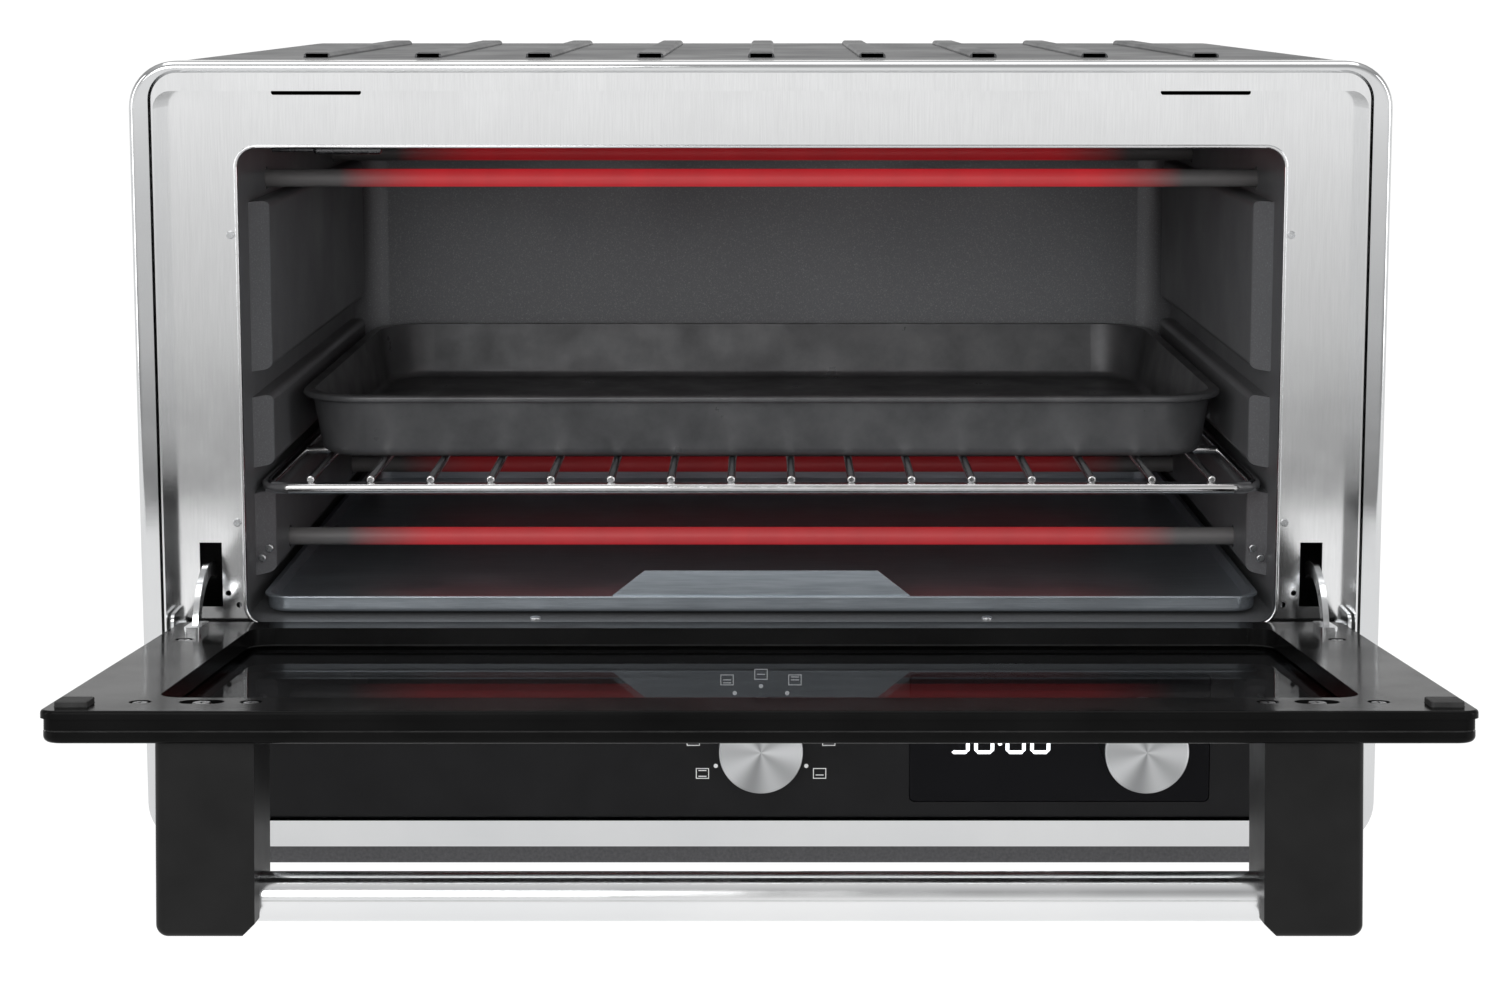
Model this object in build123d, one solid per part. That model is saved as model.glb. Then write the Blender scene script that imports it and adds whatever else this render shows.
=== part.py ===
from build123d import *
import math
import os

# A countertop toaster oven with its door open, in millimetres.
# While it is built, y = 0 is the front of the bezel and +Y runs to the back. At the end
# everything moves so that the origin is the centre of the bounding box, at the feet.

# Overall sizes
width = 430.0
height = 284.0
depth = 318.0
foot_height = 9.0
sheet = 0.8
gap = 0.3
plinth_inset = 20.0
plinth_reach = 7.0
plinth_drop = 8.0

# Bezel ring round the front
bezel_depth = 16.0
bezel_radius = 16.0
bezel_side = 6.9
bezel_top = 3.0
bezel_bottom = 10.0
bezel_round = 2.4
bezel_flange = 4.0

# Raised ribs on the case's top
rib_count = 9
rib_pitch = 40.1
rib_half = 4.8
rib_rise = 1.8
rib_front = 62.0
rib_back_gap = 24.0

# Recessed face plate that carries the cavity and the door
face_gap = 0.9
face_wall = 0.6
face_band = 6.2
face_sheet = 1.2
recess = 13.0
band_slot_length = 31.0
band_slot_height = 1.8
band_slot_x = 153.0

# Cooking cavity
cavity_width = 361.5
cavity_bottom = 86.6
cavity_height = 167.2
cavity_radius = 6.5
cavity_bead = 1.2
cavity_bead_height = 0.6
liner_step = 2.0
liner_rear_gap = 16.6
liner_corner = 15.0

# Door, described shut: its outer face looks forward
door_edge_gap = 2.4
door_top_gap = 1.6
door_clearance = 2.0
door_thickness = 9.4
door_skin = 3.2
door_seam = 0.5
door_lip = 2.4
door_lip_overhang = 0.9
glass_lip = 0.8
glass_overlap = 6.0
window_side = 28.5
window_bottom = 17.0
window_top = 24.0
window_radius = 8.0
hinge_below_cavity = 2.0
hinge_up = 3.0
hinge_in = 3.4
door_open_angle = 84.5

# Door hinge and the curved stays that hold the door open
hinge_pin_radius = 2.0
hinge_pin_length = 8.0
hinge_pin_clearance = 0.05
hinge_plate = 1.2
stay_radius = 22.5
stay_width = 5.0
stay_thickness = 2.0
stay_x = 193.1
stay_foot_width = 5.6
stay_foot_height = 2.4
stay_slot_width = 7.8
stay_slot_bottom = 92.6
stay_slot_height = 22.9
stay_tail = 0.5

# Door handle
handle_outer_x = 172.0
handle_bracket_width = 28.5
handle_bracket_depth = 25.0
handle_standoff = 56.0
handle_top_margin = 4.0
handle_bar_radius = 7.1
handle_bar_offset = 46.9
handle_socket = 10.0
handle_screw_offsets = (-11.2, 3.0)

# Screws and bumpers in the door's inner face
door_screw_sink = 1.3
bumper_size = 9.6
bumper_sink = 1.5
bumper_proud = 1.6
bumper_edge = 8.0
bumper_drop = 11.5

# Control fascia, with its lens and dials
fascia_front = 2.0
fascia_wall = 2.5
fascia_gap = 0.4
fascia_corner = 9.6
fascia_door_gap = 0.8
lens_width = 105.0
lens_height = 44.5
lens_x = 104.5
lens_z = 47.6
lens_thickness = 1.8
lens_fit = 0.2
lens_ledge = 2.2
dial_radius = 14.6
dial_reach = 16.0
dial_back_gap = 0.6
dial_z = 47.3
mode_dial_x = 0.0
time_dial_x = 133.0
shaft_radius = 3.0
shaft_clearance = 0.08
shaft_grip = 8.0

# Rack, pan and crumb tray
rack_front = 40.0
rack_back_gap = 12.2
rack_z = 130.0
rack_wire_radius = 2.2
rack_rod_radius = 1.5
rack_rod_pitch = 21.6
rack_rod_count = 16
rack_side_clearance = 1.6
rack_corner = 9.0
rod_sink = 0.35
pan_side_gap = 3.6
pan_back_gap = 4.2
pan_height = 24.0
pan_front = 70.0
pan_wall = 1.0
pan_rim = 3.2
pan_rim_height = 2.6
pan_draft = 4.0
pan_corner = 26.0
tray_side_gap = 5.9
tray_back_gap = 7.2
tray_front = 25.0
tray_lift = 1.2
tray_lip = 6.0
tray_corner = 9.0
tray_rim = 1.2
tray_pull = 15.0
tray_pull_top = 83.0
tray_pull_base = 106.0

# Boards and the cord gland
board_front = 9.0
board_thickness = 1.6
gland_inset = 62.0
gland_rise = 40.0
gland_radius = 9.0
cord_hole_radius = 3.8

# Heating elements
element_radius = 3.3
element_front_depth = 80.0
element_rear_gap = 63.2
upper_element_drop = 16.8
lower_element_rise = 17.9

# Raised panels on the side walls; the rack slides in the channels between them
emboss_reach = 6.0
emboss_front = 42.0
emboss_bottom = 10.9
emboss_count = 3
emboss_bevel = 9.0
emboss_wall = 1.0
level_pitch = 35.0
channel_height = 9.4

# Values that follow from the ones above
half_width = width / 2
back_face = depth - face_sheet
bezel_inner_half = half_width - bezel_side
face_half = bezel_inner_half - face_gap
face_top = height - bezel_top - face_gap
recess_half = face_half - face_wall
recess_top = face_top - face_band
face_back = recess + face_sheet
cavity_half = cavity_width / 2
cavity_top = cavity_bottom + cavity_height
liner_half = cavity_half + liner_step
liner_top = cavity_top + liner_step
liner_back = back_face - liner_rear_gap
emboss_half = liner_half - emboss_reach
element_depths = (element_front_depth, liner_back - element_rear_gap)
upper_element_z = liner_top - upper_element_drop
lower_element_z = cavity_bottom + lower_element_rise
door_back = recess - door_clearance
door_front = door_back - door_thickness
hinge_y = door_back - hinge_in
hinge_z = cavity_bottom - hinge_below_cavity
hinge_sweep = math.hypot(max(door_thickness - hinge_in, hinge_in), hinge_up)
door_bottom = hinge_z - hinge_up
door_top = recess_top - door_top_gap
door_half = recess_half - door_edge_gap
door_seam_y = door_front + door_skin
window_low = door_bottom + window_bottom
window_high = door_top - window_top
window_half = door_half - window_side
fascia_top = hinge_z - hinge_sweep - fascia_door_gap
fascia_bottom = foot_height + bezel_bottom + fascia_gap
fascia_half = recess_half - fascia_gap
dial_front = fascia_front - dial_reach
handle_inner_x = handle_outer_x - handle_bracket_width
handle_high = door_top - handle_top_margin
handle_low = handle_high - handle_bracket_depth
handle_middle = (handle_high + handle_low) / 2
handle_front = door_front - handle_standoff
bar_y = door_front - handle_bar_offset
rod_z = rack_z + rack_wire_radius + rack_rod_radius - rod_sink
pan_bottom = rod_z + rack_rod_radius
rack_half = liner_half - rack_side_clearance - rack_wire_radius
rack_back = liner_back - rack_back_gap
rack_length = rack_back - rack_front
rack_level = rack_z - rack_wire_radius - 0.2
pan_width = 2 * (emboss_half - pan_side_gap)
pan_length = liner_back - pan_back_gap - pan_front
tray_width = 2 * (liner_half - tray_side_gap)
tray_length = liner_back - tray_back_gap - tray_front
tray_bottom = cavity_bottom + tray_lift
case_half = half_width - 1.2
case_top = height - 0.3
case_bottom = foot_height + face_sheet
gland_x = -half_width + gland_inset
gland_z = foot_height + gland_rise
bore_start = door_half - hinge_pin_length - 0.5
handle_middle_x = handle_outer_x - handle_bracket_width / 2
bumper_x = door_half - bumper_edge
bumper_z = door_top - bumper_drop
hinge_axis = Axis((0, hinge_y, hinge_z), (1, 0, 0))


def block(x_low, x_high, y_low, y_high, z_low, z_high):
    centre = Pos((x_low + x_high) / 2, (y_low + y_high) / 2, (z_low + z_high) / 2)
    return centre * Box(x_high - x_low, y_high - y_low, z_high - z_low)


def front_plane(y):
    """A plane that faces forward at y, with its own x and y along X and Z."""
    return Plane((0, y, 0), x_dir=(1, 0, 0), z_dir=(0, -1, 0))


def panel(half, z_low, z_high, radius, y_low, y_high):
    """A flat panel with rounded corners that stands upright, centred on X."""
    outline = Pos(0, (z_low + z_high) / 2) * RectangleRounded(2 * half, z_high - z_low, radius)
    return extrude(front_plane(y_high) * outline, amount=y_high - y_low)


def rod_y(x, z, radius, y_low, y_high):
    return extrude(front_plane(y_high) * Pos(x, z) * Circle(radius), amount=y_high - y_low)


def rod_x(y, z, radius, x_low, x_high):
    start = Plane((x_low, y, z), x_dir=(0, 1, 0), z_dir=(1, 0, 0))
    return extrude(start * Circle(radius), amount=x_high - x_low)


def rod_z_up(x, y, radius, z_low, z_high):
    return Pos(x, y, z_low) * extrude(Circle(radius), amount=z_high - z_low)


def both_sides(part):
    return [part, mirror(part, about=Plane.YZ)]


def merge(pieces):
    whole = pieces[0]
    for piece in pieces[1:]:
        whole = whole + piece
    return whole


def group(pieces):
    return Compound(children=[solid for piece in pieces for solid in piece.solids()])


# Case and chassis

def make_bezel():
    ring = panel(half_width, foot_height, height, bezel_radius, 0, bezel_depth)
    ring = fillet(ring.faces().sort_by(Axis.Y)[0].edges(), bezel_round)
    inner_radius = bezel_radius - bezel_side + 1.0
    opening_top = height - bezel_top
    opening_bottom = foot_height + bezel_bottom
    flange_y = face_back
    ring -= panel(bezel_inner_half, opening_bottom, opening_top, inner_radius, -1, flange_y)
    ring -= panel(
        bezel_inner_half - bezel_flange,
        opening_bottom + bezel_flange,
        opening_top - bezel_flange,
        inner_radius,
        flange_y - 1,
        bezel_depth + 1,
    )
    return ring


def make_face_plate():
    corner = bezel_radius - bezel_side
    low = fascia_top + 1.0
    plate = panel(face_half, low - 3 * corner, face_top, corner, face_wall, face_back)
    plate -= panel(recess_half, low - 4 * corner, recess_top, corner - 3.0, 0, recess)
    plate -= block(-width, width, -1, depth, 0, low)
    bead = panel(
        cavity_half + cavity_bead,
        cavity_bottom - cavity_bead,
        cavity_top + cavity_bead,
        cavity_radius + cavity_bead,
        recess - cavity_bead_height,
        recess + 0.1,
    )
    bead -= panel(cavity_half, cavity_bottom, cavity_top, cavity_radius, 0, depth)
    plate += fillet(bead.faces().sort_by(Axis.Y)[0].edges(), cavity_bead_height - 0.1)
    plate -= panel(cavity_half, cavity_bottom, cavity_top, cavity_radius, recess - 1, face_back + 1)
    hollow = recess_half - 4.0
    plate -= block(-hollow, hollow, 2.2, face_back + 1, recess_top + 1.0, face_top - 1.2)
    slot = front_plane(face_back + 1) * SlotOverall(band_slot_length, band_slot_height)
    slot = extrude(Pos(0, 0, recess_top - band_slot_height / 2) * slot, amount=face_back + 2)
    for side in (-1, 1):
        plate -= Pos(side * band_slot_x, 0, 0) * slot
        middle = side * stay_x
        plate -= block(
            middle - stay_slot_width / 2,
            middle + stay_slot_width / 2,
            recess - 1,
            face_back + 1,
            stay_slot_bottom,
            stay_slot_bottom + stay_slot_height,
        )
        plate -= rod_y(side * (cavity_half + 6.5), cavity_bottom + 10.8, 1.0, recess - 1, face_back + 1)
        plate -= rod_y(side * (cavity_half + 2.8), cavity_bottom + 6.6, 1.0, recess - 1, face_back + 1)
    return plate


def make_outer_case():
    wrap = panel(case_half, foot_height - 40, case_top, bezel_radius - 1.2, bezel_depth, back_face)
    wrap -= panel(
        case_half - sheet,
        foot_height - 50,
        case_top - sheet,
        bezel_radius - 1.2 - sheet,
        bezel_depth - 1,
        back_face + 1,
    )
    wrap -= block(-width, width, -1, depth + 1, -60, case_bottom)
    return add_ribs(wrap)


def add_ribs(wrap):
    """Long raised ribs along the top, front to back, each hollow below and open at its front end."""
    rib_back = back_face - rib_back_gap
    rib_top = case_top + rib_rise
    inner = rib_half - sheet
    for index in range(rib_count):
        x = (index - (rib_count - 1) / 2) * rib_pitch
        rib = block(x - rib_half, x + rib_half, rib_front, rib_back, case_top - sheet / 2, rib_top)
        wrap += fillet(rib.faces().sort_by(Axis.Z)[-1].edges(), rib_rise - sheet / 2)
        low = case_top - 2 * sheet
        hollow = block(x - inner, x + inner, rib_front - 1, rib_back - sheet, low, rib_top - sheet / 2)
        hollow -= block(x - width, x + width, 0, rib_front + sheet, 0, case_top)
        wrap -= hollow
    return wrap


def make_base_plate():
    """The bottom sheet, with vent slots and a low plinth under the bezel."""
    inset = 3.0
    plate = block(-half_width + inset, half_width - inset, bezel_depth, back_face, foot_height, case_bottom)
    slot_count = 11
    for row in (0.36, 0.62):
        for index in range(slot_count):
            x = (index - (slot_count - 1) / 2) * 22.0
            slot = Pos(x, row * depth, foot_height - 1) * Rot(0, 0, 90) * SlotOverall(34, 5)
            plate -= extrude(slot, amount=face_sheet + 2)
    return plate + block(
        -half_width + plinth_inset,
        half_width - plinth_inset,
        bezel_depth - plinth_reach,
        bezel_depth + plinth_reach,
        foot_height - plinth_drop,
        foot_height,
    )


def make_back_panel():
    back = panel(case_half, foot_height - 40, case_top, bezel_radius - 1.2, back_face, depth)
    back -= block(-width, width, -1, depth + 1, -60, foot_height)
    rows = 5
    columns = 9
    for row in range(rows):
        for column in range(columns):
            x = (column - (columns - 1) / 2) * 26.0
            z = height * 0.62 + row * 12.0
            slot = front_plane(depth + 1) * Pos(x, z) * SlotOverall(20, 4)
            back -= extrude(slot, amount=face_sheet + 2)
    back -= rod_y(gland_x, gland_z, gland_radius + 0.1, back_face - 1, depth + 1)
    return back


def make_cord_gland():
    """The bush where the mains lead would leave the back panel."""
    collar = rod_y(gland_x, gland_z, gland_radius + 3.0, depth, depth + 3.0)
    collar = fillet(collar.faces().sort_by(Axis.Y)[-1].edges(), 1.2)
    neck = rod_y(gland_x, gland_z, gland_radius, back_face - 6.0, depth)
    bush = collar + neck
    return bush - rod_y(gland_x, gland_z, cord_hole_radius, back_face - 8.0, depth + 5.0)


def make_feet():
    pads = []
    for x in (-half_width + 42, half_width - 42):
        for y in (bezel_depth + 26, depth - 38):
            pad = Pos(x, y, 0) * extrude(Circle(10.5), amount=foot_height, taper=-8)
            pad = fillet(pad.faces().sort_by(Axis.Z)[0].edges(), 1.2)
            pads.append(pad - rod_z_up(x, y, 3.5, -1, foot_height * 0.6))
    return group(pads)


def make_case_screws():
    screws = []
    for x in (-case_half + 8, case_half - 8):
        for z in (foot_height + 14, height * 0.5, height - 16):
            screws.append(screw_head(x, z, depth, 1, 3.2, 1.6))
    return group(screws)


def screw_head(x, z, face_y, outward, radius, tall):
    """A domed head with a cross recess, on a face at face_y; outward is +1 to the back."""
    far = face_y + outward * tall
    head = rod_y(x, z, radius, min(face_y, far), max(face_y, far))
    edge = head.faces().sort_by(Axis.Y)[-1 if outward > 0 else 0].edges()
    head = fillet(edge, tall * 0.45)
    slot_half = radius * 0.55
    slot_deep = tall * 0.4
    y_low = min(far, far - outward * slot_deep)
    y_high = max(far, far - outward * slot_deep)
    head -= block(x - slot_half, x + slot_half, y_low, y_high, z - 0.3, z + 0.3)
    head -= block(x - 0.3, x + 0.3, y_low, y_high, z - slot_half, z + slot_half)
    return head


# Cavity

def raised_panel(inset, low, high):
    """One raised panel of the left wall, with its sloping front; inset gives the hollow behind it."""
    inner = -emboss_half - inset
    outer = -liner_half - (0.1 if inset == 0 else 2 * sheet)
    start = emboss_front + inset
    end = liner_back - liner_corner - 4.0 - inset
    outline = Polyline((outer, start), (inner, start + emboss_bevel), (inner, end), (outer, end), close=True)
    raised = Pos(0, 0, low + inset) * extrude(make_face(outline), amount=high - low - 2 * inset)
    if inset == 0:
        raised = fillet(raised.faces().sort_by(Axis.X)[-1].edges(), 2.4)
    return raised


def make_liner_side():
    """The left wall, with the raised panels that the rack slides between; the right one mirrors it."""
    back = liner_back - liner_corner
    wall = block(-liner_half - sheet, -liner_half, face_back, back, cavity_bottom, liner_top)
    for index in range(emboss_count):
        low = cavity_bottom + emboss_bottom
        high = rack_level + index * level_pitch
        if index > 0:
            low = rack_level + (index - 1) * level_pitch + channel_height
        if index == emboss_count - 1:
            high = upper_element_z - element_radius - 2.8
        wall += raised_panel(0.0, low, high)
        wall -= raised_panel(emboss_wall, low, high)
    for y in element_depths:
        for z in (upper_element_z, lower_element_z):
            wall -= rod_x(y, z, element_radius + 1.0, -liner_half - 5, -emboss_half + 5)
    return wall


def make_liner_back():
    outer = block(
        -liner_half - sheet,
        liner_half + sheet,
        liner_back - liner_corner,
        liner_back + sheet,
        cavity_bottom,
        liner_top,
    )
    outer = fillet(outer.edges().filter_by(Axis.Z).sort_by(Axis.Y)[-2:], liner_corner)
    inner = block(-liner_half, liner_half, liner_back - 2 * liner_corner, liner_back, 0, height)
    inner = fillet(inner.edges().filter_by(Axis.Z).sort_by(Axis.Y)[-2:], liner_corner - sheet)
    return outer - inner


def make_liner_flat(z_low, z_high):
    flat = block(-liner_half - sheet, liner_half + sheet, face_back, liner_back + sheet, z_low, z_high)
    return fillet(flat.edges().filter_by(Axis.Z).sort_by(Axis.Y)[-2:], liner_corner)


def make_element(y, z):
    reach = liner_half + 16.0
    rod = rod_x(y, z, element_radius, -reach, reach)
    for side in (-1, 1):
        rod += rod_x(y, z, 1.4, min(side * reach, side * (reach + 6)), max(side * reach, side * (reach + 6)))
    return rod


def make_element_ceramics():
    rings = []
    low = liner_half + sheet
    for y in element_depths:
        for z in (upper_element_z, lower_element_z):
            ring = rod_x(y, z, element_radius + 4.0, low, low + 9.0)
            ring -= rod_x(y, z, element_radius + 0.05, low - 1, low + 10)
            rings.extend(both_sides(ring))
    return group(rings)


def make_sensor_probe():
    """The temperature bulb under the roof at the left, in its clip."""
    y = 66.0
    z = cavity_top - 3.6
    probe = rod_x(y, z, 1.7, -163.0, -138.0)
    probe = fillet(probe.edges().filter_by(GeomType.CIRCLE), 1.4)
    probe += rod_x(y, z, 0.8, -178.0, -162.0)
    clip = block(-153.0, -147.0, y - 4.0, y + 8.0, liner_top - 0.9, liner_top)
    clip += block(-152.0, -148.0, y - 0.6, y + 0.6, z, liner_top)
    return probe + clip


def make_cavity_rivets():
    """Two small rivets on the front step of each side wall and two studs in the floor."""
    rivets = []
    for inward, z in ((2.2, cavity_bottom + 17.3), (5.0, cavity_bottom + 21.0)):
        x = -liner_half + inward
        head = rod_y(x, z, 1.5, emboss_front - 0.8, emboss_front)
        head = fillet(head.faces().sort_by(Axis.Y)[0].edges(), 0.6)
        rivets.extend(both_sides(head))
    for x in (-80.0, 80.0):
        stud = rod_z_up(x, tray_front - 5.5, 2.0, cavity_bottom, cavity_bottom + 0.9)
        rivets.append(fillet(stud.faces().sort_by(Axis.Z)[-1].edges(), 0.6))
    return group(rivets)


def make_face_screws():
    screws = []
    for z in (cavity_bottom + 36.0, cavity_top - 30.0):
        for side in (-1, 1):
            screws.append(screw_head(side * (cavity_half + 2.8), z, recess, -1, 1.4, 0.5))
    return group(screws)


# Rack, pan and tray

def make_rack():
    loop = Pos(0, (rack_front + rack_back) / 2, rack_z) * RectangleRounded(
        2 * rack_half, rack_length, rack_corner
    )
    path = loop.wires()[0]
    section = Plane(path @ 0, z_dir=path % 0) * Circle(rack_wire_radius)
    pieces = [sweep(section, path=path)]
    for y in (rack_front + rack_length / 3, rack_back - rack_length / 3):
        pieces.append(rod_x(y, rack_z, rack_rod_radius + 0.2, -rack_half, rack_half))
    for index in range(rack_rod_count):
        x = (index - (rack_rod_count - 1) / 2) * rack_rod_pitch
        rod = rod_y(x, rod_z, rack_rod_radius, rack_front - 1.8, rack_back + 1.8)
        ends = rod.edges().filter_by(GeomType.CIRCLE)
        pieces.append(fillet(ends, 0.7))
    return merge(pieces)


def make_pan():
    middle_y = pan_front + pan_length / 2
    top_draft = math.degrees(math.atan(pan_draft / pan_height))
    floor_width = pan_width - 2 * (pan_rim + pan_draft)
    floor_length = pan_length - 2 * (pan_rim + pan_draft)
    floor_corner = pan_corner - pan_rim - pan_draft
    place = Pos(0, middle_y, pan_bottom)
    floor = RectangleRounded(floor_width, floor_length, floor_corner)
    tub = place * extrude(floor, pan_height, taper=-top_draft)
    tub = fillet(tub.faces().sort_by(Axis.Z)[0].edges(), 4.0)
    inner_width = floor_width - 2 * pan_wall
    inner_length = floor_length - 2 * pan_wall
    inside = RectangleRounded(inner_width, inner_length, floor_corner - pan_wall)
    hollow = place * Pos(0, 0, pan_wall) * extrude(inside, pan_height, taper=-top_draft)
    hollow = fillet(hollow.faces().sort_by(Axis.Z)[0].edges(), 3.0)
    rim_outline = RectangleRounded(pan_width, pan_length, pan_corner)
    rim = place * Pos(0, 0, pan_height - pan_rim_height) * extrude(rim_outline, pan_rim_height)
    rim = fillet(rim.edges().group_by(Axis.Z)[-1] + rim.edges().group_by(Axis.Z)[0], 1.1)
    return (tub + rim) - hollow


def tray_outline(grow):
    """The tray seen from above, grown on every side."""
    middle = tray_front + tray_length / 2
    across = tray_width + 2 * grow
    along = tray_length + 2 * grow
    return Pos(0, middle) * RectangleRounded(across, along, tray_corner + grow)


def make_crumb_tray():
    """A shallow tray with a turned rim and a raised pull in the middle of its front lip."""
    low = tray_bottom
    tray = Pos(0, 0, low) * extrude(tray_outline(0), amount=tray_lip)
    tray = fillet(tray.faces().sort_by(Axis.Z)[0].edges(), 1.6)
    rim = Pos(0, 0, low + tray_lip - sheet) * extrude(tray_outline(tray_rim), amount=sheet)
    tray += fillet(rim.faces().sort_by(Axis.Z)[-1].edges(), 0.4)
    pull = Polyline(
        (-tray_pull_base / 2, low + 1.0),
        (-tray_pull_base / 2, low + tray_lip),
        (-tray_pull_top / 2, low + tray_pull),
        (tray_pull_top / 2, low + tray_pull),
        (tray_pull_base / 2, low + tray_lip),
        (tray_pull_base / 2, low + 1.0),
        close=True,
    )
    tray -= Pos(0, 0, low + sheet) * extrude(tray_outline(-sheet), amount=tray_lip)
    return tray + extrude(front_plane(tray_front + sheet + 0.4) * make_face(pull), amount=sheet)


# Door, made shut and then turned down to where it rests

def opened(part):
    return part.rotate(hinge_axis, door_open_angle)


def door_window(grow, y_low, y_high):
    """The window's outline, grown on every side, as a slab from y_low to y_high."""
    return panel(
        window_half + grow,
        window_low - grow,
        window_high + grow,
        window_radius + grow,
        y_low,
        y_high,
    )


def make_door_inner():
    """The inner skin: a thin lip round the edge over a slightly smaller pressing."""
    frame = panel(door_half, door_bottom, door_top, 5.0, door_back - door_lip, door_back)
    frame = fillet(frame.faces().sort_by(Axis.Y)[-1].edges(), 1.0)
    pressing_half = door_half - door_lip_overhang
    pressing_top = door_top - door_lip_overhang
    pressing_front = door_seam_y + door_seam
    frame += panel(pressing_half, door_bottom, pressing_top, 4.1, pressing_front, door_back - door_lip)
    frame -= door_window(0, door_front, door_back + 1)
    bore = rod_x(hinge_y, hinge_z, hinge_pin_radius + hinge_pin_clearance, -width, width)
    bore -= block(-bore_start, bore_start, -50, 50, 0, height)
    frame -= bore
    for side in (-1, 1):
        for x, z, radius, slot_length in door_screw_places(side):
            recess_slot = front_plane(door_back + 1) * Pos(x, z) * SlotOverall(slot_length, 2 * radius + 1.6)
            frame -= extrude(recess_slot, amount=1 + door_screw_sink)
        pad = front_plane(door_back + 1) * Pos(side * bumper_x, bumper_z) * RectangleRounded(
            bumper_size + 0.4, bumper_size + 0.4, 1.2
        )
        frame -= extrude(pad, amount=1 + bumper_sink)
    return frame


def door_screw_places(side):
    """Screws in the inner face: x, z, head radius and the length of the recess round it."""
    return (
        (side * (handle_outer_x + 6.5), handle_middle, 2.4, 6.5),
        (side * (handle_middle_x + handle_screw_offsets[1]), handle_middle, 2.8, 13.0),
        (side * (handle_middle_x + handle_screw_offsets[0]), handle_middle, 2.4, 6.5),
        (side * stay_x, hinge_z + 42.0, 2.2, 6.1),
    )


def make_door_outer():
    skin = panel(door_half - 0.6, door_bottom, door_top, 6.0, door_front, door_seam_y)
    skin = fillet(skin.faces().sort_by(Axis.Y)[0].edges(), 1.8)
    skin -= door_window(-2.0, door_front - 1, door_back)
    return skin - door_window(glass_overlap + gap, door_front + glass_lip, door_back)


def make_door_spacer():
    """The dark strip between the door's two skins; it shows as a seam round the edge."""
    inset = 1.4
    low = door_bottom + inset
    high = door_top - inset
    spacer = panel(door_half - inset, low, high, 4.0, door_seam_y, door_seam_y + door_seam)
    return spacer - door_window(1.0, door_front, door_back)


def make_door_glass():
    return door_window(glass_overlap, door_front + glass_lip, door_seam_y)


def make_door_screws():
    screws = []
    for side in (-1, 1):
        for x, z, radius, slot_length in door_screw_places(side):
            screws.append(screw_head(x, z, door_back - door_screw_sink, 1, radius, door_screw_sink - 0.1))
    return group(screws)


def make_door_bumpers():
    pads = []
    for side in (-1, 1):
        outline = Pos(side * bumper_x, bumper_z) * RectangleRounded(bumper_size, bumper_size, 1.0)
        pad = extrude(front_plane(door_back + bumper_proud) * outline, amount=bumper_sink + bumper_proud)
        pads.append(fillet(pad.faces().sort_by(Axis.Y)[-1].edges(), 0.35))
    return group(pads)


def make_handle_bracket():
    """The right bracket, with a socket for the bar in its inner side."""
    bracket = block(
        handle_inner_x,
        handle_outer_x,
        handle_front,
        door_front,
        handle_low,
        handle_high,
    )
    inner_edges = bracket.faces().sort_by(Axis.X)[0].edges().filter_by(Axis.Z)
    bracket = chamfer(inner_edges.sort_by(Axis.Y)[0], 4.0)
    corner = bracket.faces().sort_by(Axis.X)[-1].edges().filter_by(Axis.Z).sort_by(Axis.Y)[0]
    bracket = fillet(corner, 3.6)
    bracket = fillet(bracket.faces().sort_by(Axis.Y)[0].edges().filter_by(Axis.X), 2.5)
    socket_end = handle_inner_x + handle_socket
    socket = rod_x(bar_y, handle_middle, handle_bar_radius + 0.05, handle_inner_x - 1, socket_end)
    return bracket - socket


def make_handle_bar():
    reach = handle_inner_x + handle_socket - 0.1
    bar = rod_x(bar_y, handle_middle, handle_bar_radius, -reach, reach)
    return fillet(bar.edges().filter_by(GeomType.CIRCLE), 0.6)


def make_door_stay():
    """The right stay: a quarter ring about the hinge on a foot screwed to the door."""
    start = Plane((stay_x - stay_thickness / 2, hinge_y, hinge_z), x_dir=(0, 1, 0), z_dir=(1, 0, 0))
    ring = Circle(stay_radius + stay_width / 2) - Circle(stay_radius - stay_width / 2)
    reach = 2 * stay_radius
    sector = make_face(
        Polyline((hinge_in, 0), (hinge_in, reach), (reach, reach), (reach, -reach * stay_tail), close=True)
    )
    arm = extrude(start * (ring & sector), amount=stay_thickness)
    low = hinge_z + stay_radius - 9.0
    foot = block(
        stay_x - stay_foot_width / 2,
        stay_x + stay_foot_width / 2,
        door_back,
        door_back + stay_foot_height,
        low,
        low + 17.0,
    )
    foot = fillet(foot.edges().filter_by(Axis.Y), 1.5)
    return arm + foot


def make_hinge_bracket():
    """The right bracket: an upright ear on the face plate, with the pin that the door turns on."""
    ear_low = door_half + (door_edge_gap - hinge_plate) / 2
    ear = block(ear_low, ear_low + hinge_plate, hinge_y - 3.6, recess, hinge_z - 4.5, hinge_z + 7.0)
    ear = fillet(ear.edges().filter_by(Axis.X).sort_by(Axis.Y)[:2], 3.0)
    return ear + rod_x(hinge_y, hinge_z, hinge_pin_radius, door_half - hinge_pin_length, ear_low + 0.5)


# Control fascia

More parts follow.
